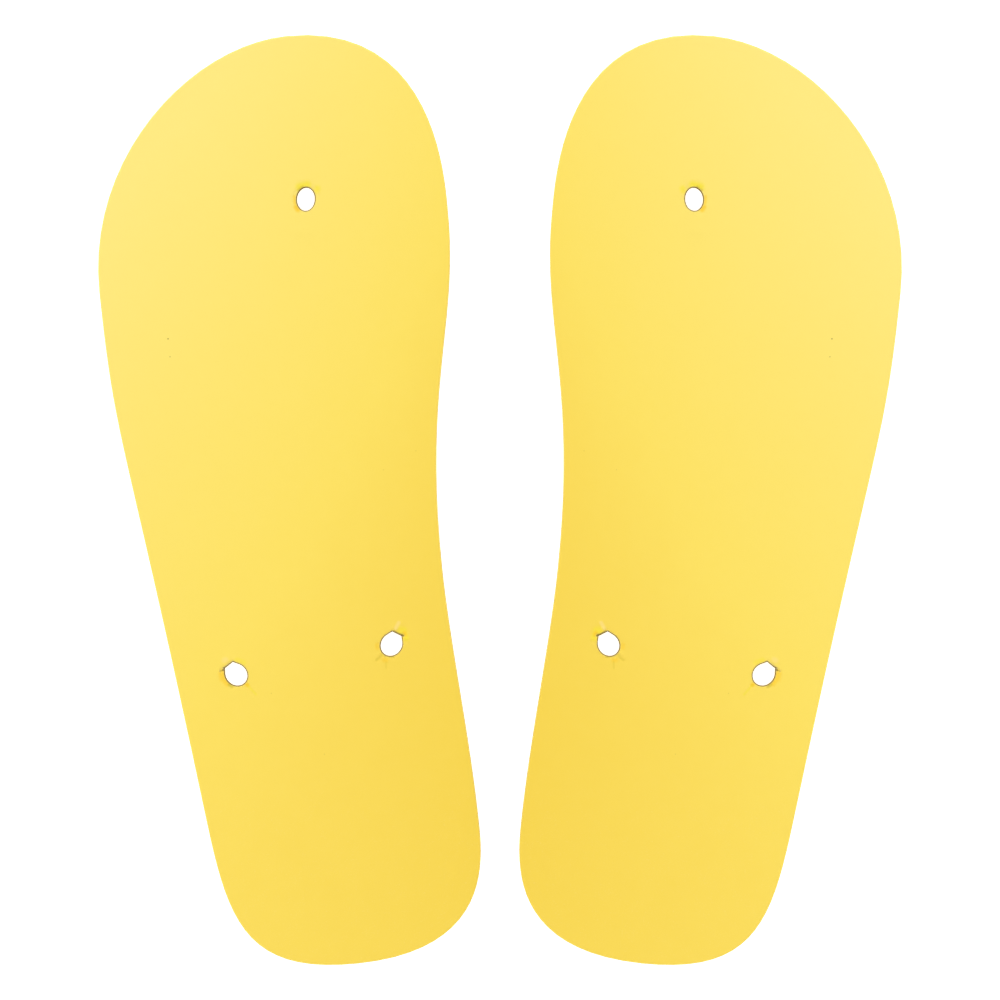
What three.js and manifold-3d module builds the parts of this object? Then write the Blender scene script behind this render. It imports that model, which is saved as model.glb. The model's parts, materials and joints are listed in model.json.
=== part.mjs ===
// A pair of flip flop soles: die-cut foam sheets glued into a left and a right sole, each with three strap
// holes. Millimetres, +Z up, toes towards +Y, left sole on the -X side. The origin is on the ground, midway
// between the soles.
import * as THREE from 'three';
import { mergeVertices } from 'three/addons/utils/BufferGeometryUtils.js';
import Module from 'manifold-3d';

// Outline. A sole's own frame starts at the heel end: y runs to the toes, x to the arch side.
const soleLength = 280;
const forefootWidth = 107;
const forefootShift = -3;   // middle of the forefoot, to the outer side of the centreline
const heelWidth = 82;
const heelShift = -0.5;
const archReach = 37.5;     // from the centreline to the waist on the arch side
const toeOffset = 7.5;      // the foremost point, to the arch side of the centreline

// How the pair lies
const toeOutAngle = 6;      // degrees
const heelGap = 11.5;       // between the two heels

// Sheets, from the top down
const footbedThickness = 3;
const midsoleThickness = 8.5;
const outsoleThickness = 3;
const glueLine = 0.25;      // cement film between two sheets

// Strap holes: punched ovals through all three sheets, leaning outwards by so many degrees
// from straight ahead. A side hole also runs out to two corners, in degrees ahead of straight outwards.
const toeHoleWidth = 5.7;
const toeHoleLength = 7.3;
const toeHoleLean = 10;
const toeHoleFromToe = 49.5;
const toeHoleOffset = 8.3;  // to the arch side of the centreline
const sideHoleWidth = 6.6;
const sideHoleLength = 7.4;
const sideHoleLean = 40;
const sideHoleCorners = [34, 81];
const sideHoleCornerReach = 4.1; // from the middle of the hole
const sideHoleCornerBlend = 30; // degrees, from a corner to where the oval starts
const sideHoleInset = 18.2; // from the edge of the sole to the middle of the hole
const archHoleFromHeel = 94.5;
const outerHoleFromHeel = 90.4;

// Plug seats, sunk into the underside around the strap holes
const toeSeatDiameter = 20;
const sideSeatDiameter = 22;
const seatIntoMidsole = 2.5; // above the outsole, which the seats go right through
const seatLand = 4;          // plain ring left around a seat

// Tread
const grooveWidth = 2;
const grooveDepth = 1.2;
const groovePitch = 12;
const zigzagWidth = 24;
const zigzagHeight = 5;
const treadBorder = 6;      // plain rim around the tread

// Mesh fineness
const outlineSteps = 20;    // for each curve of the outline
const holeSteps = 32;
const seatSteps = 48;
const cutPast = 1;          // how far a cutting body runs past the face it cuts

const wasm = await Module();
wasm.setup();

// The outline as knots of one closed curve, from the heel end round the arch side to the toes and back.
// Each knot has its place, its heading in degrees, and how far its curve handles reach back and ahead.
function outlineKnots() {
  const archHeel = heelShift + heelWidth / 2;
  const outerHeel = heelShift - heelWidth / 2;
  const archBall = forefootShift + forefootWidth / 2;
  const outerBall = forefootShift - forefootWidth / 2;
  const along = (share) => share * soleLength;
  const acrossHeel = (share) => share * heelWidth;
  const acrossBall = (share) => share * forefootWidth;
  return [
    { x: 0, y: 0, heading: 0, back: acrossHeel(0.44), ahead: acrossHeel(0.49) },
    { x: archHeel, y: along(0.135), heading: 90, back: along(0.041), ahead: along(0.096) },
    { x: archReach, y: along(0.413), heading: 90, back: along(0.083), ahead: along(0.204) },
    { x: archBall, y: along(0.799), heading: 90, back: along(0.125), ahead: along(0.0265) },
    { x: toeOffset, y: along(1), heading: 180, back: acrossBall(0.427), ahead: acrossBall(0.272) },
    { x: outerBall, y: along(0.747), heading: 270, back: along(0.145), ahead: along(0.168) },
    { x: outerHeel, y: along(0.185), heading: 276, back: along(0.4235), ahead: along(0.118) },
  ];
}

function handle(knot, reach) {
  const angle = THREE.MathUtils.degToRad(knot.heading);
  return new THREE.Vector2(knot.x + reach * Math.cos(angle), knot.y + reach * Math.sin(angle));
}

function outlinePoints() {
  const knots = outlineKnots();
  const path = new THREE.Path();
  path.moveTo(knots[0].x, knots[0].y);
  knots.forEach((knot, i) => {
    const next = knots[(i + 1) % knots.length];
    const leave = handle(knot, knot.ahead);
    const arrive = handle(next, -next.back);
    path.bezierCurveTo(leave.x, leave.y, arrive.x, arrive.y, next.x, next.y);
  });
  return path.getPoints(outlineSteps).slice(0, -1);
}

const outline = outlinePoints();

// The outline moved inwards by one distance all round.
function insetOutline(distance) {
  return outline.map((point, i) => {
    const before = outline.at(i - 1);
    const after = outline[(i + 1) % outline.length];
    const inward = new THREE.Vector2(before.y - after.y, after.x - before.x).normalize();
    return point.clone().addScaledVector(inward, distance);
  });
}

// Where the edge of the sole is at a distance from the heel end; side is 1 for the arch side, -1 for the outer.
function edgeAt(y, side) {
  const crossings = outline.flatMap((start, i) => {
    const end = outline[(i + 1) % outline.length];
    if ((start.y - y) * (end.y - y) > 0 || start.y === end.y) return [];
    return [THREE.MathUtils.mapLinear(y, start.y, end.y, start.x, end.x)];
  });
  return side * Math.max(...crossings.map((x) => side * x));
}

// A hole's side is 1 towards the arch and -1 towards the outer edge.
const toeHole = {
  x: toeHoleOffset,
  y: soleLength - toeHoleFromToe,
  side: 1,
  points: oval(toeHoleWidth, toeHoleLength, toeHoleLean, 0, 360),
  seat: toeSeatDiameter,
};

function sideHole(fromHeel, side) {
  return {
    x: edgeAt(fromHeel, side) - side * sideHoleInset,
    y: fromHeel,
    side,
    points: sideHolePoints(),
    seat: sideSeatDiameter,
  };
}

// Points of an oval round its middle, counter-clockwise from one angle to another, in degrees from straight
// outwards.
function oval(width, length, lean, from, to) {
  const turn = THREE.MathUtils.degToRad(-lean);
  const start = THREE.MathUtils.degToRad(from) - turn;
  const end = THREE.MathUtils.degToRad(to) - turn;
  const curve = new THREE.EllipseCurve(0, 0, width / 2, length / 2, start, end, false, turn);
  const points = curve.getPoints(holeSteps);
  return to - from === 360 ? points.slice(0, -1) : points;
}

function sideHolePoints() {
  const [outer, front] = sideHoleCorners;
  const rest = oval(sideHoleWidth, sideHoleLength, sideHoleLean,
    front + sideHoleCornerBlend, outer - sideHoleCornerBlend + 360);
  const corners = sideHoleCorners.map((degrees) => {
    const angle = THREE.MathUtils.degToRad(degrees);
    return new THREE.Vector2(Math.cos(angle), Math.sin(angle)).multiplyScalar(sideHoleCornerReach);
  });
  return [...rest, ...corners];
}

const strapHoles = [toeHole, sideHole(archHoleFromHeel, 1), sideHole(outerHoleFromHeel, -1)];

function holePath(hole) {
  return new THREE.Path(hole.points.map((point) => (
    new THREE.Vector2(hole.x + hole.side * point.x, hole.y + point.y)
  )));
}

function seatPath(hole) {
  const rim = new THREE.EllipseCurve(hole.x, hole.y, hole.seat / 2, hole.seat / 2, 0, 2 * Math.PI);
  return new THREE.Path(rim.getPoints(seatSteps).slice(0, -1));
}

// A sheet cut to a flat shape, from one height up to another.
function sheet(points, holes, bottom, top) {
  const shape = new THREE.Shape(points);
  shape.holes = holes;
  const geometry = new THREE.ExtrudeGeometry(shape, { depth: top - bottom, bevelEnabled: false });
  return geometry.translate(0, 0, bottom);
}

function disc(hole, diameter, bottom, top) {
  const geometry = new THREE.CylinderGeometry(diameter / 2, diameter / 2, top - bottom, seatSteps);
  return geometry.rotateX(Math.PI / 2).translate(hole.x, hole.y, (bottom + top) / 2);
}

function solid(geometry) {
  geometry.deleteAttribute('normal');
  geometry.deleteAttribute('uv');
  const merged = mergeVertices(geometry);
  return new wasm.Manifold(new wasm.Mesh({
    numProp: 3,
    vertProperties: merged.attributes.position.array,
    triVerts: new Uint32Array(merged.index.array),
  }));
}

function geometryOf(manifold) {
  const mesh = manifold.getMesh();
  const geometry = new THREE.BufferGeometry();
  geometry.setAttribute('position', new THREE.BufferAttribute(mesh.vertProperties, 3));
  geometry.setIndex(new THREE.BufferAttribute(mesh.triVerts, 1));
  geometry.computeVertexNormals();
  return geometry;
}

// Heights above the ground
const midsoleBottom = outsoleThickness + glueLine;
const seatFloor = midsoleBottom + seatIntoMidsole;
const midsoleTop = midsoleBottom + midsoleThickness;
const footbedBottom = midsoleTop + glueLine;
const footbedTop = footbedBottom + footbedThickness;

function footbedGeometry() {
  return sheet(outline, strapHoles.map(holePath), footbedBottom, footbedTop);
}

// The core: the strap holes widen into the upper part of the plug seats at its underside.
function midsoleGeometry() {
  const core = solid(sheet(outline, strapHoles.map(holePath), midsoleBottom, midsoleTop));
  const cutCore = strapHoles.reduce(
    (body, hole) => body.subtract(solid(disc(hole, hole.seat, midsoleBottom - cutPast, seatFloor))),
    core,
  );
  return geometryOf(cutCore);
}

// One groove: a zigzag ribbon straight across the sole.
function zigzagRibbon(y) {
  const halfCount = Math.ceil(forefootWidth / zigzagWidth);
  const back = [];
  const front = [];
  for (let i = -2 * halfCount; i <= 2 * halfCount; i += 1) {
    const x = i * zigzagWidth / 2;
    const rise = (i % 2 === 0 ? -1 : 1) * zigzagHeight / 2;
    back.push(new THREE.Vector2(x, y + rise - grooveWidth / 2));
    front.unshift(new THREE.Vector2(x, y + rise + grooveWidth / 2));
  }
  return solid(sheet([...back, ...front], [], -cutPast, grooveDepth));
}

function treadCut() {
  const ribbons = [];
  for (let y = groovePitch; y < soleLength; y += groovePitch) {
    ribbons.push(zigzagRibbon(y));
  }
  const grooves = ribbons.reduce((all, ribbon) => all.add(ribbon));
  const field = solid(sheet(insetOutline(treadBorder), [], -2 * cutPast, 2 * grooveDepth));
  return strapHoles.reduce(
    (cut, hole) => cut.subtract(solid(disc(hole, hole.seat + 2 * seatLand, -2 * cutPast, 2 * grooveDepth))),
    grooves.intersect(field),
  );
}

// The outsole: each plug seat goes right through it, and the tread is cut into its underside.
function outsoleGeometry() {
  const blank = solid(sheet(outline, strapHoles.map(seatPath), 0, outsoleThickness));
  return geometryOf(blank.subtract(treadCut()));
}

const footbedFoam = new THREE.MeshStandardMaterial({ color: 0xfde068, roughness: 0.8, metalness: 0 });
const midsoleFoam = new THREE.MeshStandardMaterial({ color: 0xf6d14f, roughness: 0.9, metalness: 0 });
const outsoleFoam = new THREE.MeshStandardMaterial({ color: 0xf0c642, roughness: 0.75, metalness: 0 });

function sole(side) {
  const group = new THREE.Group();
  const layers = [
    ['footbed', footbedGeometry(), footbedFoam],
    ['midsole', midsoleGeometry(), midsoleFoam],
    ['outsole', outsoleGeometry(), outsoleFoam],
  ];
  layers.forEach(([layer, geometry, material]) => {
    const mesh = new THREE.Mesh(geometry, material);
    mesh.name = `${side}_${layer}`;
    group.add(mesh);
  });
  return group;
}

// Turns a left sole toes-out about its heel end, then sets its heel beside the middle line and centres its
// length.
function placeLeft(group) {
  const angle = THREE.MathUtils.degToRad(toeOutAngle);
  const middle = new THREE.Vector2();
  const turned = outline.map((point) => point.clone().rotateAround(middle, angle));
  const box = new THREE.Box2().setFromPoints(turned);
  group.rotation.z = angle;
  group.position.set(-heelGap / 2 - box.max.x, -box.getCenter(middle).y, 0);
  return group;
}

// The right sole is the left one mirrored.
function mirrored(group) {
  const mirror = new THREE.Group();
  mirror.scale.x = -1;
  mirror.add(group);
  return mirror;
}

const pair = new THREE.Group();
pair.add(placeLeft(sole('left')), mirrored(placeLeft(sole('right'))));

export default pair;
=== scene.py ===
import json
import math
from collections import Counter

import bpy
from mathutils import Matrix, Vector

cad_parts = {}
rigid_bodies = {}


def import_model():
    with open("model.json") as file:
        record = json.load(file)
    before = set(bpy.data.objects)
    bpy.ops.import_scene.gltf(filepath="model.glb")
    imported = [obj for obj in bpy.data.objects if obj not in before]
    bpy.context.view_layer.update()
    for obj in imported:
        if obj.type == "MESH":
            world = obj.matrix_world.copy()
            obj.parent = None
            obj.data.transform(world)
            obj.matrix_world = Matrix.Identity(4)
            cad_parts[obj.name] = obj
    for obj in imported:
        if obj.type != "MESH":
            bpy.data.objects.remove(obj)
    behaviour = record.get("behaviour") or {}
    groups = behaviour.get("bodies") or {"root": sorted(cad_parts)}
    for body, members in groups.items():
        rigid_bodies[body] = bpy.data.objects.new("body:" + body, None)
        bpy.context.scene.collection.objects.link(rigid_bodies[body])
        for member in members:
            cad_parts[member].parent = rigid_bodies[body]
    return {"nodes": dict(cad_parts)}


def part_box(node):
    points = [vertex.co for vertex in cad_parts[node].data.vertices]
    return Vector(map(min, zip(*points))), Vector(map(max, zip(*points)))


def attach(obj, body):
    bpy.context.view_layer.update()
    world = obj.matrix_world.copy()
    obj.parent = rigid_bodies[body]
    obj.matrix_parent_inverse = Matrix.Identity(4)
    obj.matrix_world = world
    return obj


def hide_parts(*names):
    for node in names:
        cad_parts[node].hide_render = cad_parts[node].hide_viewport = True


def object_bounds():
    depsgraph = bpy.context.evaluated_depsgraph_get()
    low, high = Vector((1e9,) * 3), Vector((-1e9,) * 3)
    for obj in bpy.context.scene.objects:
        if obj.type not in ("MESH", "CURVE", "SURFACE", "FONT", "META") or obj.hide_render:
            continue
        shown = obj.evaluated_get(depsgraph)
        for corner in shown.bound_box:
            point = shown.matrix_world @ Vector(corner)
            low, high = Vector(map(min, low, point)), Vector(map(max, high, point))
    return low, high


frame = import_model()
cad_low, cad_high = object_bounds()


# Footbed sheets -----------------------------------------------------------------------------------------
# The sheet the foot stands on: 3 mm of closed-cell EVA foam with a smooth moulded skin on top. It is die
# cut, so its edge is crisp with a small drawn-in lip, and the foam is puckered where the straps went through.
MM = 0.001
MERGE = 0.001 * MM
FLAT_ANGLE = math.radians(0.1)
SMOOTH_ANGLE = math.radians(35)
LIP = 0.5 * MM
SEAM_LIP = 0.22 * MM
LIP_STEPS = 5
SEAM_STEPS = 3
SKIN_RINGS = (0.4, 0.5, 0.6, 0.8, 1.0, 1.3, 1.7)  # mm from each line around the rims to the next one inwards
SKIN_PITCH = 4 * MM
HOLE_REACH = 6 * MM
HOLE_DETAIL = 8.5 * MM
LONG_RIM = 0.85 * MM
WAVE_LENGTH = 45 * MM
WAVE_HEIGHT = 0.35 * MM
CREASE = 0.28 * MM
RIM_CUTS = 4
HOLE_CUTS = 2
WALL_TILT = 0.3
CUT_TILT = 0.35
SKIN_TILT = 0.1
SPRING_BACK = ((1.0, 0.08), (1.6, 0.18), (2.2, 0.14))  # mm below the skin, mm into the hole


def alone(piece):
    bpy.ops.object.select_all(action="DESELECT")
    piece.select_set(True)
    bpy.context.view_layer.objects.active = piece


def edit(piece):
    alone(piece)
    bpy.ops.object.mode_set(mode="EDIT")
    bpy.ops.mesh.select_all(action="DESELECT")


def leave():
    bpy.ops.object.mode_set(mode="OBJECT")


def pick(piece, kind, test):
    """In edit mode, selects only the shown vertices, edges or faces of a piece that pass a test."""
    bpy.ops.mesh.select_mode(type=kind)
    bpy.ops.mesh.select_all(action="DESELECT")
    leave()
    mesh = piece.data
    parts = {"VERT": mesh.vertices, "EDGE": mesh.edges, "FACE": mesh.polygons}[kind]
    for part in parts:
        part.select = not part.hide and test(part)
    bpy.ops.object.mode_set(mode="EDIT")


def flat_at(piece, height):
    """A test for the edges or faces that lie flat at one height."""
    slack = 0.01 * MM
    heights = [v.co.z for v in piece.data.vertices]
    return lambda part: all(abs(heights[i] - height) < slack for i in part.vertices)


def sheet_blank(node, name):
    """A clean copy of one packed sheet: its loose triangles merged, and its flat faces made whole."""
    piece = bpy.data.objects.new(name, frame["nodes"][node].data.copy())
    piece.data.materials.clear()
    bpy.context.scene.collection.objects.link(piece)
    edit(piece)
    bpy.ops.mesh.select_all(action="SELECT")
    bpy.ops.mesh.remove_doubles(threshold=MERGE)
    bpy.ops.mesh.dissolve_limited(angle_limit=FLAT_ANGLE)
    leave()
    return piece


def round_rims(piece, height, radius, steps):
    """Rounds every rim of the flat face at one height, at its edge and its holes, and leaves it picked."""
    edit(piece)
    pick(piece, "FACE", flat_at(piece, height))
    middle = sum(v.co.z for v in piece.data.vertices) / len(piece.data.vertices)
    inwards = -radius if height > middle else radius
    bpy.ops.transform.translate(value=(0, 0, inwards))
    for i in range(steps):
        angle, after = (math.pi / 2 * step / steps for step in (i, i + 1))
        across = radius * (math.cos(angle) - math.cos(after))
        up = radius * (math.sin(after) - math.sin(angle))
        bpy.ops.mesh.inset(thickness=across, depth=up, use_boundary=True, use_even_offset=True)


def rule_grid(piece, low, high, pitch):
    """In edit mode, rules the shown faces into a square grid."""
    for axis, normal in ((0, (1, 0, 0)), (1, (0, 1, 0))):
        steps = math.floor((high[axis] - low[axis]) / pitch)
        for i in range(1, steps + 1):
            point = [0, 0, 0]
            point[axis] = low[axis] + i * pitch
            bpy.ops.mesh.select_all(action="SELECT")
            bpy.ops.mesh.bisect(plane_co=point, plane_no=normal)


def hole_centres(node):
    """The middles of a sheet's strap holes, from the toe backwards: the closed loops inside its outline."""
    piece = sheet_blank(node, "probe")
    edit(piece)
    pick(piece, "FACE", flat_at(piece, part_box(node)[1].z))
    bpy.ops.mesh.region_to_loop()
    leave()
    rims = {e.index: e.vertices[:] for e in piece.data.edges if e.select}
    neighbours = {}
    for a, b in rims.values():
        neighbours.setdefault(a, []).append(b)
        neighbours.setdefault(b, []).append(a)
    loops = []
    while neighbours:
        loop, waiting = [], [next(iter(neighbours))]
        while waiting:
            vertex = waiting.pop()
            if vertex in neighbours:
                waiting += neighbours.pop(vertex)
                loop.append(piece.data.vertices[vertex].co.copy())
        loops.append(loop)
    loops.sort(key=len)
    boxes = [[(min(c), max(c)) for c in zip(*loop)] for loop in loops[:-1]]
    middles = [Vector((sum(x) / 2, sum(y) / 2, z[1])) for x, y, z in boxes]
    bpy.data.objects.remove(piece)
    return sorted(middles, key=lambda middle: -middle.y)


def sculpt(piece, test, move, reach, falloff="SMOOTH"):
    """In edit mode, pulls the shown points that pass a test, and the foam within a reach of them."""
    pick(piece, "VERT", test)
    bpy.ops.transform.translate(
        value=move,
        use_proportional_edit=True,
        proportional_edit_falloff=falloff,
        proportional_size=reach,
    )


def beside(points, piece, width):
    """A test for the points of a piece that lie within a width of a line through some places."""
    legs = list(zip(points, points[1:]))
    spots = [v.co.xy for v in piece.data.vertices]

    def distance(spot, start, end):
        along = end - start
        share = max(0, min(1, (spot - start).dot(along) / along.length_squared))
        return (spot - start - share * along).length

    return lambda part: any(distance(spots[part.index], *leg) < width for leg in legs)


def near_holes(spot, reach):
    """True for a place within a reach of the middle of a strap hole."""
    return any((spot.xy - hole.xy).length < reach for hole in holes)


def split_long_rims(piece):
    """Splits the long straight stretches of the hole rims, so that the foam can pucker at their corners."""
    points = [v.co for v in piece.data.vertices]

    def long_rim(part):
        start, end = (points[i] for i in part.vertices)
        level = abs(start.z - end.z) < MERGE
        return level and near_holes(start, HOLE_REACH) and (start - end).length > LONG_RIM

    edit(piece)
    pick(piece, "EDGE", long_rim)
    bpy.ops.mesh.subdivide(number_cuts=RIM_CUTS)
    leave()


def cut_through_holes(piece, height):
    """Splits a flat face by a straight cut ahead of and behind each strap hole, and clears its other cuts."""
    edit(piece)
    pick(piece, "FACE", flat_at(piece, height))
    bpy.ops.mesh.hide(unselected=True)
    for hole in holes:
        bpy.ops.mesh.select_all(action="SELECT")
        bpy.ops.mesh.bisect(plane_co=hole, plane_no=(1, 0, 0))
    leave()
    points = [v.co.x for v in piece.data.vertices]
    shown = Counter(key for face in piece.data.polygons if not face.hide for key in face.edge_keys)

    def stray_cut(part):
        start, end = part.key
        return shown[part.key] == 2 and abs(points[start] - points[end]) > MERGE

    edit(piece)
    pick(piece, "EDGE", stray_cut)
    bpy.ops.mesh.dissolve_edges(use_verts=True)
    bpy.ops.mesh.reveal(select=False)
    leave()


def wave_skin(piece):
    """Gives the open skin, away from its rims, the slight unevenness of a sheet that has been rolled up."""
    bpy.ops.mesh.select_all(action="SELECT")
    bpy.ops.mesh.select_less()
    piece.vertex_groups.new(name="skin")
    bpy.ops.object.vertex_group_assign()
    leave()
    waves = bpy.data.textures.new("skin_waves", "CLOUDS")
    waves.noise_scale = WAVE_LENGTH
    displace = piece.modifiers.new("waves", "DISPLACE")
    displace.texture = waves
    displace.texture_coords = "LOCAL"
    displace.vertex_group = "skin"
    displace.direction = "Z"
    displace.strength = WAVE_HEIGHT
    bpy.ops.object.modifier_apply(modifier="waves")
    edit(piece)


def round_a_hole(piece, reach):
    """A test for the four-sided upward faces around the strap holes."""
    faces = piece.data.polygons

    def test(part):
        return len(part.vertices) == 4 and part.normal.z > 0 and near_holes(faces[part.index].center, reach)

    return test


def hole_wall(piece, reach):
    """A test for the upright faces within a reach of the middle of a strap hole."""
    faces = piece.data.polygons
    return lambda part: abs(part.normal.z) < WALL_TILT and near_holes(faces[part.index].center, reach)


def bulge_ring(piece, height, test, distance):
    """Moves the points of a piece at one height that pass a test out of the foam, or into it if negative."""
    edit(piece)
    pick(piece, "VERT", lambda part: abs(part.co.z - height) < MERGE and test(part))
    bpy.ops.transform.shrink_fatten(value=distance)
    leave()


def level_cut(piece, height):
    """In edit mode, cuts the shown faces through at one height."""
    bpy.ops.mesh.select_all(action="SELECT")
    bpy.ops.mesh.bisect(plane_co=(0, 0, height), plane_no=(0, 0, 1))


def close_up_holes(piece, top):
    """Lets the foam spring back into the strap holes a little below a skin."""
    edit(piece)
    pick(piece, "FACE", hole_wall(piece, HOLE_REACH))
    bpy.ops.mesh.hide(unselected=True)
    for depth, _ in SPRING_BACK:
        level_cut(piece, top - depth * MM)
    bpy.ops.mesh.reveal(select=False)
    leave()
    for depth, distance in SPRING_BACK:
        bulge_ring(piece, top - depth * MM, lambda part: near_holes(part.co, HOLE_REACH), distance * MM)


holes = hole_centres("left_footbed")
toe_hole, arch_hole, outer_hole = holes
footbed = sheet_blank("left_footbed", "left_footbed_foam")
footbed_low, footbed_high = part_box("left_footbed")
split_long_rims(footbed)
round_rims(footbed, footbed_low.z, SEAM_LIP, SEAM_STEPS)
leave()
cut_through_holes(footbed, footbed_high.z)
close_up_holes(footbed, footbed_high.z)
round_rims(footbed, footbed_high.z, LIP, LIP_STEPS)
for width in SKIN_RINGS:
    bpy.ops.mesh.inset(thickness=width * MM, use_boundary=True, use_even_offset=True)
bpy.ops.mesh.hide(unselected=True)
rule_grid(footbed, footbed_low, footbed_high, SKIN_PITCH)
wave_skin(footbed)
bpy.ops.mesh.reveal(select=False)
pick(footbed, "FACE", round_a_hole(footbed, HOLE_DETAIL))
bpy.ops.mesh.subdivide(number_cuts=HOLE_CUTS)
pick(footbed, "FACE", lambda part: part.normal.z > SKIN_TILT)
bpy.ops.mesh.hide(unselected=True)

# Where the straps were pulled through: the strap hole, a line of places in mm from its middle, how far the
# skin drops there in mm, and how far around that reaches in mm.
PUCKERS = (
    (toe_hole, ((-3.1, -0.6), (-2.7, 1.8), (-1.6, 3.3)), 0.20, 1.2),
    (toe_hole, ((-1.0, 3.8), (1.2, 3.8)), 0.22, 2.4),
    (toe_hole, ((-2.4, -2.4), (-1.5, -3.4)), 0.25, 1.6),
    (toe_hole, ((2.8, 1.2), (2.2, 2.8)), 0.20, 1.6),
    (arch_hole, ((0.6, 4.0), (3.2, 2.5)), 0.16, 0.5),
    (arch_hole, ((3.2, 2.6), (3.6, 2.5)), 0.25, 0.5),
    (arch_hole, ((2.4, 3.8), (3.6, 3.4)), 0.16, 2.0),
    (arch_hole, ((-2.3, -3.0), (-4.2, -4.9)), 0.22, 0.7),
    (arch_hole, ((-1.4, -3.9), (0.8, -4.0)), 0.25, 0.7),
    (arch_hole, ((-1.6, -5.2), (-1.6, -7.2)), 0.12, 0.6),
    (arch_hole, ((3.9, 0.8), (5.2, 0.8)), 0.12, 0.4),
    (arch_hole, ((3.8, 0.2), (4.7, 0.1)), 0.12, 0.4),
    (arch_hole, ((-3.5, -0.4), (-3.4, -1.4)), 0.20, 1.6),
    (outer_hole, ((-3.4, 1.4), (-4.5, 0.9)), 0.30, 0.6),
    (outer_hole, ((-3.6, 0.8), (-3.5, -1.0), (-2.6, -2.7), (-1.2, -3.7)), 0.22, 1.6),
    (outer_hole, ((-3.3, 1.7), (-1.1, 3.6)), 0.15, 0.7),
    (outer_hole, ((2.6, -3.0), (3.3, -3.8)), 0.20, 1.0),
    (outer_hole, ((3.4, -3.9), (5.7, -6.4)), 0.14, 0.6),
)
# Where the skin between two puckers stands up instead, written in the same way.
SWELLS = (
    (toe_hole, ((-4.6, 1.4), (-4.2, 3.2)), 0.08, 1.0),
    (arch_hole, ((1.4, 4.8), (2.2, 6.4)), 0.14, 1.2),
    (arch_hole, ((-4.2, -3.4), (-5.0, -4.2)), 0.08, 0.8),
    (outer_hole, ((-3.6, 3.6), (-2.8, 4.6)), 0.16, 1.4),
)
for marks, sign in ((PUCKERS, -1), (SWELLS, 1)):
    for hole, places, height, reach in marks:
        line = [hole.xy + Vector(place) * MM for place in places]
        sculpt(footbed, beside(line, footbed, CREASE), (0, 0, sign * height * MM), reach * MM)
bpy.ops.mesh.reveal(select=False)
leave()
bpy.ops.object.shade_smooth_by_angle(angle=SMOOTH_ANGLE)


class Wire:
    """A value in a material's node tree, so that shader maths reads as plain expressions."""

    def __init__(self, tree, socket=None):
        self.tree = tree
        self.socket = socket

    def node(self, kind, settings=None, inputs=None, output=0):
        """Adds a node of any kind: its settings first, then the values or links of its sockets."""
        node = self.tree.nodes.new(kind)
        for name, value in (settings or {}).items():
            if name == "stops":
                ramp = node.color_ramp.elements
                for place, colour in value[len(ramp):]:
                    ramp.new(place)
                for stop, (place, colour) in zip(ramp, value):
                    stop.position = place
                    stop.color = (*colour, 1)
            else:
                setattr(node, name, value)
        for name, value in (inputs or {}).items():
            if isinstance(value, Wire):
                self.tree.links.new(value.socket, node.inputs[name])
            else:
                node.inputs[name].default_value = value
        return Wire(self.tree, node.outputs[output] if node.outputs else None)

    def math(self, operation, *values):
        return self.node("ShaderNodeMath", {"operation": operation}, dict(enumerate(values)))

    def __add__(self, other):
        return self.math("ADD", self, other)

    def __sub__(self, other):
        return self.math("SUBTRACT", self, other)

    def __rsub__(self, other):
        return self.math("SUBTRACT", other, self)

    def __mul__(self, other):
        return self.math("MULTIPLY", self, other)

    def __truediv__(self, other):
        return self.math("DIVIDE", self, other)

    def __abs__(self):
        return self.math("ABSOLUTE", self)

    __radd__ = __add__
    __rmul__ = __mul__

    def vector_math(self, operation, inputs, output=0):
        return self.node("ShaderNodeVectorMath", {"operation": operation}, inputs, output)

    def from_line(self, start, end):
        """How far this place is from a straight line between two places."""
        along = end - start
        leg = self.vector_math("SUBTRACT", {0: self, 1: start})
        share = leg.vector_math("DOT_PRODUCT", {0: leg, 1: along / along.length_squared}, output=1)
        foot = leg.vector_math("SCALE", {0: along, "Scale": share.node("ShaderNodeClamp", inputs={0: share})})
        return leg.vector_math("DISTANCE", {0: leg, 1: foot}, output=1)

    def step(self, start, end):
        """0 below start, 1 above end, and smooth in between."""
        inputs = {"Value": self, "From Min": start, "From Max": end}
        return self.node("ShaderNodeMapRange", {"interpolation_type": "SMOOTHSTEP"}, inputs)

    def mix(self, first, second):
        """The first colour where this is 0, the second where it is 1."""
        first, second = ((*c, 1) if isinstance(c, tuple) else c for c in (first, second))
        inputs = {0: self, 6: first, 7: second}
        return self.node("ShaderNodeMix", {"data_type": "RGBA"}, inputs, output=2)

    def noise(self, size, detail=2):
        """Soft random patches of about one size, at this place."""
        return self.node("ShaderNodeTexNoise", inputs={"Vector": self, "Scale": 1 / size, "Detail": detail})

    def cells(self, size):
        """How far this place is from the middle of its foam cell, in cells."""
        return self.node("ShaderNodeTexVoronoi", inputs={"Vector": self, "Scale": 1 / size})


def start_material(name):
    """A new material, with the places on a piece: sideways from the middle of the pair, along it, and up."""
    material = bpy.data.materials.new(name)
    material.use_nodes = True
    tree = material.node_tree
    tree.nodes.clear()
    place = Wire(tree).node("ShaderNodeTexCoord", output=3)
    across, along, up = (place.node("ShaderNodeSeparateXYZ", inputs={0: place}, output=i) for i in range(3))
    return material, abs(across), along, up


def join(across, along, up):
    return across.node("ShaderNodeCombineXYZ", inputs={0: across, 1: along, 2: up})


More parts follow.
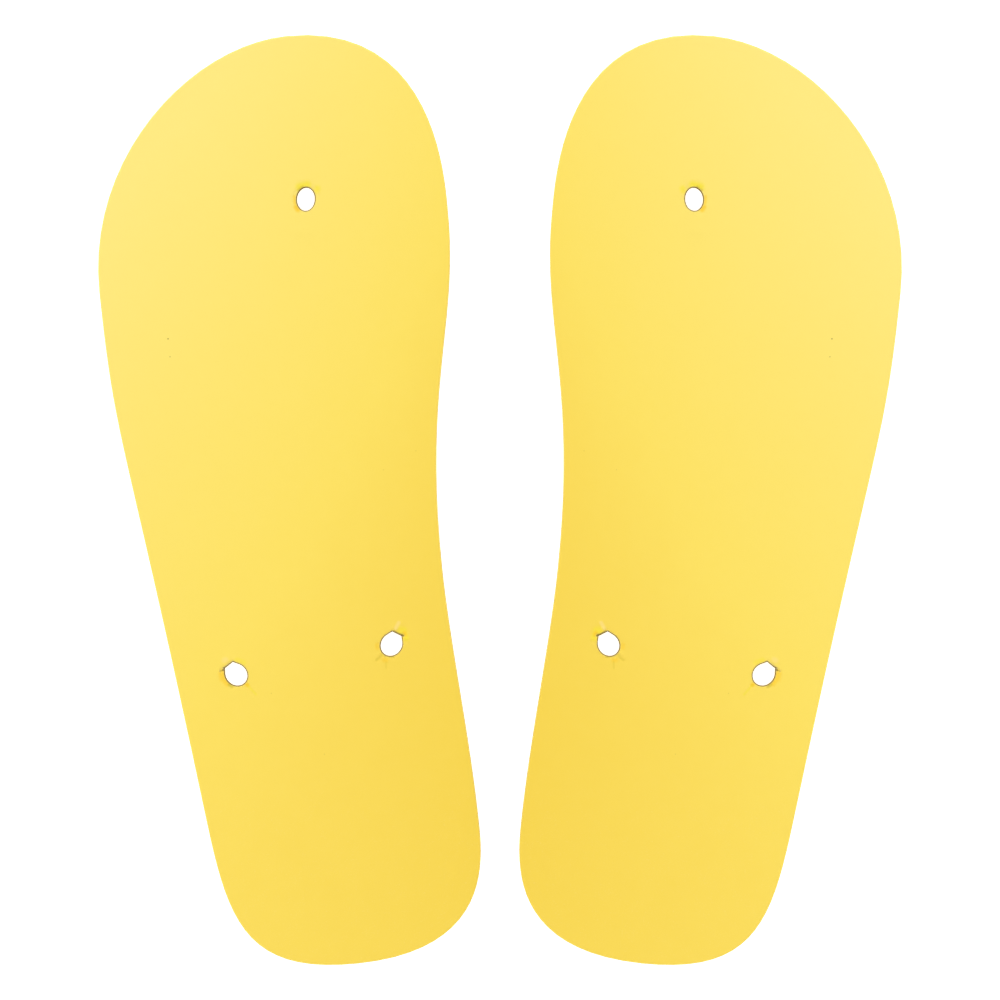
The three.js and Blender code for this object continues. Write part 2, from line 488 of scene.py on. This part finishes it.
def foam_surface(colour, roughness, height, gloss):
    """Ends a foam material. Height is the relief of the surface in metres, and gloss its specular level."""
    normal = height.node("ShaderNodeBump", inputs={"Height": height, "Distance": 1.0, "Strength": 1.0})
    inputs = {
        "Base Color": colour,
        "Roughness": roughness,
        "Normal": normal,
        "Specular IOR Level": gloss,
    }
    shader = normal.node("ShaderNodeBsdfPrincipled", inputs=inputs)
    shader.node("ShaderNodeOutputMaterial", inputs={"Surface": shader})


# Yellows of the skin and its painted sheen, from the arch side of the heel, where it is deepest, to the outer
# side of the toes, where the painted sheen is strongest
SKIN_AND_SHEEN_YELLOWS = (
    (0.00, (0.684, 0.476, 0.037)),
    (0.23, (0.718, 0.527, 0.063)),
    (0.35, (0.735, 0.560, 0.080)),
    (0.48, (0.741, 0.573, 0.096)),
    (1.00, (0.750, 0.608, 0.152)),
)
# Tones painted on the puckers round the strap holes: saturated, amber and olive shade, and a pale highlight.
SATURATED_SHADE = (0.72, 0.59, 0.012)
AMBER_SHADE = (0.74, 0.46, 0.010)
OLIVE_SHADE = (0.44, 0.34, 0.008)
PALE_HIGHLIGHT = (0.75, 0.56, 0.170)
# Dark brown of real dirt specks, also used as painted shade in creases and at the strap hole rims.
DIRT_AND_SHADE = (0.10, 0.06, 0.004)
# Pale tone of the painted highlight along the rims.
RIM_HIGHLIGHT = (0.80, 0.72, 0.400)
# Painted shade and highlights on the puckers round the strap holes: the strap hole, a line between two places
# in mm from its middle, how far around it the colour is painted in mm, how strongly, and to what.
PUCKER_SHADING = (
    (toe_hole, ((-1.9, 3.7), (0.4, 4.3)), 2.0, 0.75, SATURATED_SHADE),
    (toe_hole, ((-2.3, 2.7), (-1.0, 3.7)), 0.7, 0.45, OLIVE_SHADE),
    (toe_hole, ((3.3, 2.6), (3.5, 3.2)), 1.6, 0.60, SATURATED_SHADE),
    (toe_hole, ((-2.9, -2.4), (-2.4, -3.2)), 1.3, 0.85, AMBER_SHADE),
    (toe_hole, ((-3.4, 0.8), (-3.3, -1.2)), 0.8, 0.60, AMBER_SHADE),
    (arch_hole, ((2.8, 4.0), (3.6, 4.0)), 1.8, 0.65, SATURATED_SHADE),
    (arch_hole, ((3.9, 2.6), (4.4, 1.8)), 1.6, 0.70, SATURATED_SHADE),
    (arch_hole, ((3.9, 3.2), (4.1, 2.8)), 1.1, 0.80, AMBER_SHADE),
    (arch_hole, ((-4.3, -0.4), (-4.3, -1.2)), 1.1, 0.50, AMBER_SHADE),
    (arch_hole, ((-2.2, -4.9), (-1.6, -5.0)), 1.2, 0.55, AMBER_SHADE),
    (arch_hole, ((-2.6, -3.3), (-4.4, -4.9)), 0.7, 0.30, OLIVE_SHADE),
    (arch_hole, ((-1.6, -5.6), (-1.6, -7.4)), 0.5, 0.20, OLIVE_SHADE),
    (arch_hole, ((-1.8, -3.6), (0.6, -4.0)), 0.6, 0.50, OLIVE_SHADE),
    (arch_hole, ((1.3, 4.6), (2.2, 6.3)), 0.9, 0.70, PALE_HIGHLIGHT),
    (arch_hole, ((0.7, 3.9), (3.3, 2.5)), 0.30, 0.70, DIRT_AND_SHADE),
    (arch_hole, ((3.0, 2.7), (3.6, 2.4)), 0.35, 0.85, DIRT_AND_SHADE),
    (outer_hole, ((-4.2, 0.0), (-3.9, -1.4)), 1.8, 0.70, AMBER_SHADE),
    (outer_hole, ((-3.0, -2.6), (-2.7, -3.0)), 1.4, 0.70, AMBER_SHADE),
    (outer_hole, ((-2.0, -3.3), (-1.2, -3.8)), 0.9, 0.60, OLIVE_SHADE),
    (outer_hole, ((3.2, -3.2), (3.5, -3.4)), 1.0, 0.85, AMBER_SHADE),
    (outer_hole, ((3.6, -3.6), (6.0, -6.2)), 0.6, 0.40, SATURATED_SHADE),
    (outer_hole, ((0.4, 4.2), (2.4, 3.4)), 1.2, 0.45, SATURATED_SHADE),
    (outer_hole, ((-3.5, 4.0), (-3.1, 4.2)), 1.3, 0.60, PALE_HIGHLIGHT),
    (outer_hole, ((-3.3, 1.4), (-3.9, 1.1)), 0.50, 0.75, DIRT_AND_SHADE),
    (outer_hole, ((-3.8, 1.1), (-4.8, 0.8)), 0.35, 0.40, DIRT_AND_SHADE),
)
# Specks of dirt pressed into the skin: mm across and along the pair, width in mm, and how dark
SPECKS = (
    (99.9, 48.5, 0.46, 0.9),
    (99.3, 43.1, 0.42, 0.6),
    (25.3, 14.8, 0.42, 0.2),
    (35.1, 9.1, 0.42, 0.2),
    (52.8, -76.5, 0.45, 0.2),
    (68.8, -58.2, 0.45, 0.2),
)
RIM_REACH = 7 * MM
# How strongly painted shade darkens the strap hole rims, and how strongly a painted highlight pales all rims.
HOLE_RIM_SHADE = 0.75
RIM_HIGHLIGHT_STRENGTH = 0.6
GRAIN_STARTS = -70 * MM
GRAIN_FULL = -100 * MM
GRAIN_TONE = (0.80, 0.68, 0.30)
GRAIN_FADE = 0.10
SKIN_GLOSS = 0.3
CUT_GLOSS = 0.2


def on_right(spot):
    """The place on the right sole that mirrors one on the left, at no height."""
    return Vector((-spot.x, spot.y, 0))


def skin_material():
    """The moulded skin: yellows under painted sheen, dry heel grain, painted shade and highlights at holes,
    dirt specks.
    """
    material, across, along, up = start_material("footbed_skin")
    place = join(across, along, up)
    flat = join(across, along, 0 * up)
    # How strongly a painted sheen pales the yellow, in decimetres outwards and forwards from the middle of
    # the pair.
    out = across / 0.1
    ahead = along / 0.1
    painted_sheen = 0.086 + out * (0.51 - 0.058 * out + 0.199 * ahead) + ahead * (0.121 + 0.09 * ahead)
    # A little random tone in the yellow as well.
    painted_sheen = painted_sheen + 0.05 * (place.noise(9 * MM, 3) - 0.5)
    colour = painted_sheen.node("ShaderNodeValToRGB", {"stops": SKIN_AND_SHEEN_YELLOWS}, {0: painted_sheen})
    heel = 1 - along.step(GRAIN_FULL, GRAIN_STARTS)
    streaks = join(across + along, (along - across) * 0.2, up).noise(1.2 * MM)
    grain = place.noise(0.5 * MM, 1).step(0.55, 0.75) * streaks.step(0.35, 0.6) * heel
    colour = (GRAIN_FADE * grain).mix(colour, GRAIN_TONE)
    # Painted shade and painted highlights on the puckers around the strap holes.
    for hole, line, reach, strength, tone in PUCKER_SHADING:
        start, end = (on_right(hole + Vector((*spot, 0)) * MM) for spot in line)
        shading_mask = 1 - flat.from_line(start, end).step(0.1 * reach * MM, reach * MM)
        colour = (strength * shading_mask).mix(colour, tone)
    # Where the skin turns down into a rim it gets a pale painted highlight, and around the strap holes a dark
    # painted shade.
    facing = place.node("ShaderNodeNewGeometry", output=1)
    level = facing.node("ShaderNodeSeparateXYZ", inputs={0: facing}, output=2)
    colour = (RIM_HIGHLIGHT_STRENGTH * (1 - level.step(0.45, 0.97))).mix(colour, RIM_HIGHLIGHT)
    rim_shade_mask = HOLE_RIM_SHADE * (1 - level.step(0.35, 0.9))
    for hole in holes:
        away = flat.vector_math("DISTANCE", {0: flat, 1: on_right(hole)}, output=1)
        colour = (rim_shade_mask * (1 - away.step(0.6 * RIM_REACH, RIM_REACH))).mix(colour, DIRT_AND_SHADE)
    for speck_across, speck_along, width, strength in SPECKS:
        spot = Vector((speck_across, speck_along, 0)) * MM
        away = flat.vector_math("DISTANCE", {0: flat, 1: spot}, output=1)
        colour = (strength * (1 - away.step(0.2 * width * MM, 0.6 * width * MM))).mix(colour, DIRT_AND_SHADE)
    roughness = 0.70 + 0.16 * (place.noise(3 * MM) - 0.5) + 0.04 * grain
    pebble = place.noise(0.45 * MM, 2)
    drape = place.noise(6 * MM, 1)
    height = 0.012 * MM * pebble + 0.03 * MM * drape + 0.01 * MM * grain
    foam_surface(colour, roughness, height, SKIN_GLOSS)
    return material


def cut_material(name, yellow, pore_yellow):
    """Foam as the die leaves it: open cells, drawn into upright lines by the knife."""
    material, across, along, up = start_material(name)
    place = join(across, along, up)
    drawn = join(across, along, up * 0.1)
    fine_lines = drawn.noise(0.4 * MM, 2) - 0.5
    broad_lines = drawn.noise(2.2 * MM, 2) - 0.5
    pores = 1 - place.cells(0.55 * MM).step(0.12, 0.45)
    patches = place.noise(8 * MM, 2) - 0.5
    shade = 0.2 + 0.35 * pores + 0.9 * fine_lines + 0.8 * broad_lines + 0.6 * patches
    colour = shade.node("ShaderNodeClamp", inputs={0: shade}).mix(yellow, pore_yellow)
    roughness = 0.80 + 0.2 * fine_lines
    height = 0.06 * MM * fine_lines + 0.12 * MM * broad_lines - 0.05 * MM * pores
    foam_surface(colour, roughness, height, CUT_GLOSS)
    return material


def paint_faces(piece, slot, test):
    """Gives the faces of a piece that pass a test the material in one of its slots."""
    edit(piece)
    pick(piece, "FACE", test)
    piece.active_material_index = slot
    bpy.ops.object.material_slot_assign()
    leave()


EDGE_YELLOWS = ((0.72, 0.52, 0.075), (0.55, 0.36, 0.03))
# The strap hole walls are given a dark brown of painted shade.
SHADED_WALL_YELLOWS = ((0.38, 0.24, 0.016), (0.22, 0.13, 0.007))

footbed.data.materials.append(skin_material())
footbed.data.materials.append(cut_material("footbed_cut_edge", *EDGE_YELLOWS))
footbed.data.materials.append(cut_material("shaded_strap_hole_wall", *SHADED_WALL_YELLOWS))
paint_faces(footbed, 1, lambda part: part.normal.z < CUT_TILT)
# The strap hole walls take the cut foam material with painted shade.
paint_faces(footbed, 2, hole_wall(footbed, HOLE_REACH))


def mirrored(piece):
    """The same piece for the right sole."""
    alone(piece)
    bpy.ops.object.duplicate()
    twin = bpy.context.active_object
    twin.name = piece.name.replace("left", "right")
    twin.data.name = twin.name
    bpy.ops.transform.resize(value=(-1, 1, 1), center_override=(0, 0, 0))
    bpy.ops.object.transform_apply(location=True, rotation=True, scale=True)
    edit(twin)
    bpy.ops.mesh.select_all(action="SELECT")
    bpy.ops.mesh.normals_make_consistent(inside=False)
    leave()
    return twin


def fit_foam(piece, layer):
    """Makes the right-hand twin of a foam sheet, and lets both stand for their packed sheets."""
    for side, sheet in (("left", piece), ("right", mirrored(piece))):
        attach(sheet, f"{side}_sole")
        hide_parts(f"{side}_{layer}")


fit_foam(footbed, "footbed")


# Midsole cores ------------------------------------------------------------------------------------------
# The 8.5 mm core of softer, coarser EVA foam that cushions the foot. It is die cut with the sheets above and
# below it, and the soft foam springs back behind the knife, which leaves its edge slightly hollow.
HOLLOW = 0.30 * MM
HOLLOW_LEVELS = 7
SEAT_CLEAR = 13 * MM
CORE_YELLOWS = ((0.66, 0.46, 0.058), (0.47, 0.29, 0.022))

midsole = sheet_blank("left_midsole", "left_midsole_foam")
midsole_low, midsole_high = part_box("left_midsole")
for level in (midsole_low.z, midsole_high.z):
    round_rims(midsole, level, SEAM_LIP, SEAM_STEPS)
    leave()
hollows = []
edit(midsole)
for i in range(1, HOLLOW_LEVELS + 1):
    share = i / (HOLLOW_LEVELS + 1)
    level = midsole_low.z + share * (midsole_high.z - midsole_low.z)
    hollows.append((level, -HOLLOW * math.sin(math.pi * share)))
    level_cut(midsole, level)
leave()
for level, distance in hollows:
    bulge_ring(midsole, level, lambda part: not near_holes(part.co, SEAT_CLEAR), distance)
alone(midsole)
bpy.ops.object.shade_smooth_by_angle(angle=SMOOTH_ANGLE)
midsole.data.materials.append(cut_material("midsole_cut_edge", *CORE_YELLOWS))
fit_foam(midsole, "midsole")


# Outsoles -----------------------------------------------------------------------------------------------
# The bottom sheet: 3 mm of firmer EVA foam with a zigzag tread moulded into it. Its grooves and its lower
# edge have the small rounding of a mould, and each plug seat is punched right through it.
TREAD_LIP = 0.35 * MM
TREAD_YELLOWS = ((0.64, 0.43, 0.05), (0.46, 0.28, 0.02))
TREAD_GLOSS = 0.35
OUTSOLE_EDGE_YELLOWS = ((0.65, 0.44, 0.052), (0.47, 0.29, 0.022))

outsole = sheet_blank("left_outsole", "left_outsole_foam")
outsole_low, outsole_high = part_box("left_outsole")
edit(outsole)
pick(outsole, "FACE", flat_at(outsole, outsole_low.z))
bpy.ops.mesh.quads_convert_to_tris(quad_method="BEAUTY", ngon_method="BEAUTY")
bpy.ops.mesh.beautify_fill(angle_limit=math.pi)
leave()
round_rims(outsole, outsole_low.z, TREAD_LIP, SEAM_STEPS)
leave()
round_rims(outsole, outsole_high.z, SEAM_LIP, SEAM_STEPS)
leave()
bpy.ops.object.shade_smooth_by_angle(angle=SMOOTH_ANGLE)
edit(outsole)
pick(outsole, "FACE", flat_at(outsole, outsole_low.z))
bpy.ops.mesh.faces_shade_flat()
leave()


def moulded_material():
    """The moulded underside: a fine spark-eroded grain, a little glossier than cut foam."""
    material, across, along, up = start_material("outsole_moulded")
    place = join(across, along, up)
    patches = place.noise(12 * MM, 3)
    grain = place.noise(0.6 * MM, 2)
    scuffs = place.noise(2.5 * MM, 3).step(0.52, 0.7)
    shade = 0.5 * (patches - 0.5) + 0.4 * (grain - 0.5) + 0.15 * scuffs
    colour = shade.node("ShaderNodeClamp", inputs={0: shade}).mix(*TREAD_YELLOWS)
    roughness = 0.58 + 0.2 * (patches - 0.5) + 0.08 * scuffs
    foam_surface(colour, roughness, 0.03 * MM * grain, TREAD_GLOSS)
    return material


outsole.data.materials.append(moulded_material())
outsole.data.materials.append(cut_material("outsole_cut_edge", *OUTSOLE_EDGE_YELLOWS))
paint_faces(outsole, 1, lambda part: abs(part.normal.z) < CUT_TILT)
fit_foam(outsole, "outsole")


# Cement films -------------------------------------------------------------------------------------------
# Each pair of sheets is stuck together with a thin film of contact cement, brushed on before the die cuts the
# stack. It fills the seam between two sheets, and shows at the edge as a fine line a little darker than foam.
FILM_INSET = 0.35 * MM
CEMENT_BROWNS = ((0.36, 0.20, 0.02), (0.50, 0.31, 0.04))
CEMENT_GLOSS = 0.5


def cement_material():
    """Dried contact cement: brown, beaded by the brush and a little glossy."""
    material, across, along, up = start_material("contact_cement")
    place = join(across, along, up)
    beads = place.noise(1.1 * MM, 3)
    colour = beads.step(0.3, 0.7).mix(*CEMENT_BROWNS)
    foam_surface(colour, 0.45 + 0.2 * (beads - 0.5), 0.06 * MM * beads, CEMENT_GLOSS)
    return material


def cement_film(name, lower, upper, material):
    """The film on top of one sheet, as wide as the sheet less a little, and as thick as the gap above it."""
    film = sheet_blank(lower, name)
    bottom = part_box(lower)[1].z
    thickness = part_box(upper)[0].z - bottom
    edit(film)
    pick(film, "FACE", flat_at(film, bottom))
    bpy.ops.mesh.inset(thickness=FILM_INSET, use_boundary=True, use_even_offset=True)
    bpy.ops.mesh.select_all(action="INVERT")
    bpy.ops.mesh.delete(type="FACE")
    bpy.ops.mesh.select_all(action="SELECT")
    bpy.ops.mesh.extrude_region_move(TRANSFORM_OT_translate={"value": (0, 0, thickness)})
    bpy.ops.mesh.select_all(action="SELECT")
    bpy.ops.mesh.normals_make_consistent(inside=False)
    leave()
    bpy.ops.object.shade_smooth_by_angle(angle=SMOOTH_ANGLE)
    film.data.materials.append(material)
    return film


cement = cement_material()
for name, lower, upper in (
    ("left_upper_cement", "left_midsole", "left_footbed"),
    ("left_lower_cement", "left_outsole", "left_midsole"),
):
    film = cement_film(name, lower, upper, cement)
    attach(mirrored(film), "right_sole")
    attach(film, "left_sole")


# Studio -------------------------------------------------------------------------------------------------
# A pale floor that turns up into a low wall far behind the pair, soft and even light from above, and a long
# lens that looks straight down.
FLOOR_RADIUS = 12
WALL_HEIGHT = 1.5
FLOOR_DROP = 0.05 * MM
FLOOR_SIDES = 96
FLOOR_GREY = (0.86, 0.86, 0.86, 1)
FLOOR_ROUGHNESS = 0.9
FLOOR_GLOW = 0.9
WHITE = (1, 1, 1, 1)
ROOM_LIGHT = 0.6
LENS = 400
VIEW_HEIGHT = 3.3438
VIEW_REACH = 100
# The two soft lights: name, tilt and turn in degrees, strength, and how many degrees wide each one looks.
LIGHTS = (
    ("overhead_light", 0, 0, 1.5, 60),
    ("key_light", 35, 200, 0.9, 25),
)

bpy.ops.mesh.primitive_circle_add(
    vertices=FLOOR_SIDES, radius=FLOOR_RADIUS, fill_type="NGON", location=(0, 0, cad_low.z - FLOOR_DROP))
floor = bpy.context.active_object
floor.name = "floor"
edit(floor)
bpy.ops.mesh.select_mode(type="EDGE")
bpy.ops.mesh.select_all(action="SELECT")
bpy.ops.mesh.region_to_loop()
bpy.ops.mesh.extrude_region_move(TRANSFORM_OT_translate={"value": (0, 0, WALL_HEIGHT)})
bpy.ops.mesh.select_all(action="SELECT")
bpy.ops.mesh.normals_make_consistent(inside=True)
leave()
bpy.ops.object.transform_apply(location=True, rotation=True, scale=True)
pale = bpy.data.materials.new("pale_sweep")
pale.use_nodes = True
paint = pale.node_tree.nodes["Principled BSDF"]
paint.inputs["Base Color"].default_value = FLOOR_GREY
paint.inputs["Roughness"].default_value = FLOOR_ROUGHNESS
paint.inputs["Specular IOR Level"].default_value = 0
paint.inputs["Emission Color"].default_value = WHITE
paint.inputs["Emission Strength"].default_value = FLOOR_GLOW
floor.data.materials.append(pale)

world = bpy.data.worlds.new("soft_box")
world.use_nodes = True
world.node_tree.nodes["Background"].inputs["Color"].default_value = WHITE
world.node_tree.nodes["Background"].inputs["Strength"].default_value = ROOM_LIGHT
bpy.context.scene.world = world
for name, tilt, turn, strength, spread in LIGHTS:
    bpy.ops.object.light_add(type="SUN", rotation=(math.radians(tilt), 0, math.radians(turn)))
    sun = bpy.context.active_object
    sun.name = name
    sun.data.energy = strength
    sun.data.angle = math.radians(spread)

bpy.ops.object.camera_add(location=(0, 0, cad_high.z + VIEW_HEIGHT), rotation=(0, 0, 0))
camera = bpy.context.active_object
camera.data.lens = LENS
camera.data.clip_end = VIEW_REACH
bpy.context.scene.camera = camera
bpy.context.scene.view_settings.view_transform = "Standard"
